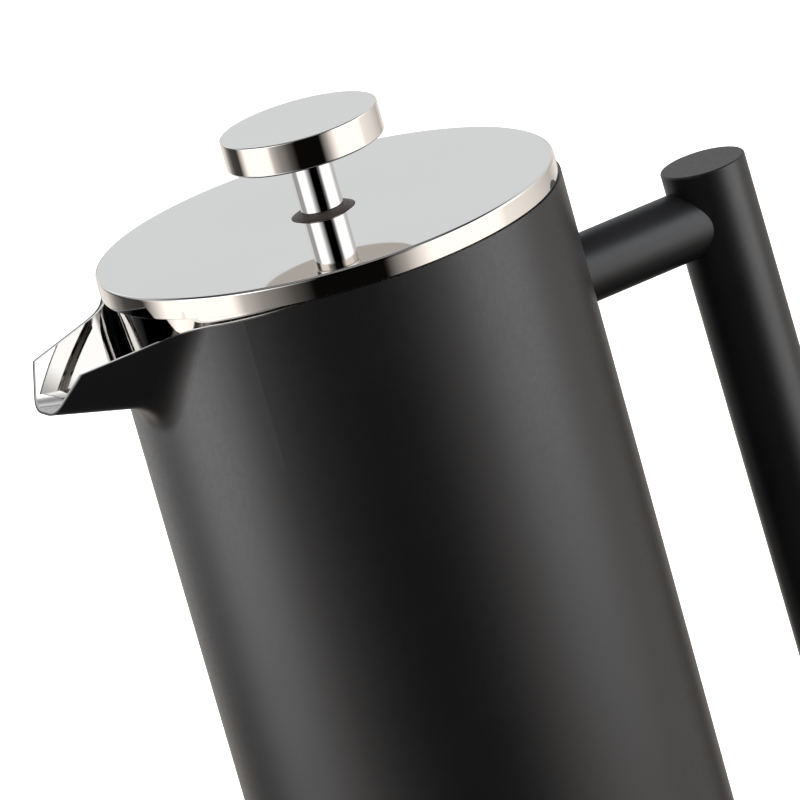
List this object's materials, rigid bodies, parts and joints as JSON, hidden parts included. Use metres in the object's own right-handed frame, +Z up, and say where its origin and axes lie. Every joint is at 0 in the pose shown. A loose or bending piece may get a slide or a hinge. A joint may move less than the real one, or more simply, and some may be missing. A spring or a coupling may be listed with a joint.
{
  "type": "french press",
  "caption": "Tall double-wall steel coffee press: black cylindrical body, U-shaped spout, straight bar handle, mirror-polished flat lid and disc knob on a plunger with a filter.",
  "frame": {"origin": "on the vessel's axis, in the plane that the press stands on", "axes": "+Z up along the vessel's axis, +X towards the handle, -X towards the spout"},
  "size_m": [0.1848, 0.1062, 0.2296],
  "materials": {
    "black_coat": "matt powder coat",
    "polished_steel": "mirror polished stainless steel",
    "brushed_steel": "satin stainless steel",
    "dark_plastic": "moulded, dark brown",
    "woven_steel": "fine woven wire"
  },
  "bodies": {
    "vessel": {"outer_shell": "black_coat", "spout_skin": "black_coat", "inner_liner": "brushed_steel", "spout_lining": "polished_steel", "base_cap": "black_coat", "upper_handle_arm": "black_coat", "lower_handle_arm": "black_coat", "handle_grip": "black_coat", "grip_top_cap": "black_coat", "grip_bottom_cap": "black_coat", "backing_plate": "brushed_steel"},
    "lid_guide": {"lid_bush": "dark_plastic", "bush_nut": "brushed_steel"},
    "lid": {"lid_cover": "polished_steel", "lid_inner_plate": "brushed_steel", "lid_strainer": "polished_steel"},
    "plunger": {"plunger_rod": "polished_steel"},
    "knob": {"knob_neck": "polished_steel", "knob_disc": "polished_steel"},
    "filter": {"plate_hub": "brushed_steel", "spiral_plate": "brushed_steel", "edge_spring": "brushed_steel", "filter_mesh": "woven_steel", "cross_plate": "brushed_steel", "hub_nut": "brushed_steel"}
  },
  "joints": [
    {"name": "lid_lift", "type": "slide", "parent": "vessel", "child": "lid_guide", "axis": [0, 0, 1], "range_m": [0, 0.19]},
    {"name": "lid_turn", "type": "hinge", "parent": "lid_guide", "child": "lid", "pos_m": [0, 0, 0.208], "axis": [0, 0, 1], "continuous": true},
    {"name": "plunger_slide", "type": "slide", "parent": "lid_guide", "child": "plunger", "axis": [0, 0, 1], "range_m": [0, 0.15]},
    {"name": "knob_turn", "type": "hinge", "parent": "plunger", "child": "knob", "pos_m": [0, 0, 0.22], "axis": [0, 0, 1], "continuous": true},
    {"name": "filter_turn", "type": "hinge", "parent": "plunger", "child": "filter", "pos_m": [0, 0, 0.024], "axis": [0, 0, 1], "continuous": true}
  ],
  "couplings": [
    {"joint": "knob_turn", "follows": "filter_turn", "ratio": 1}
  ]
}
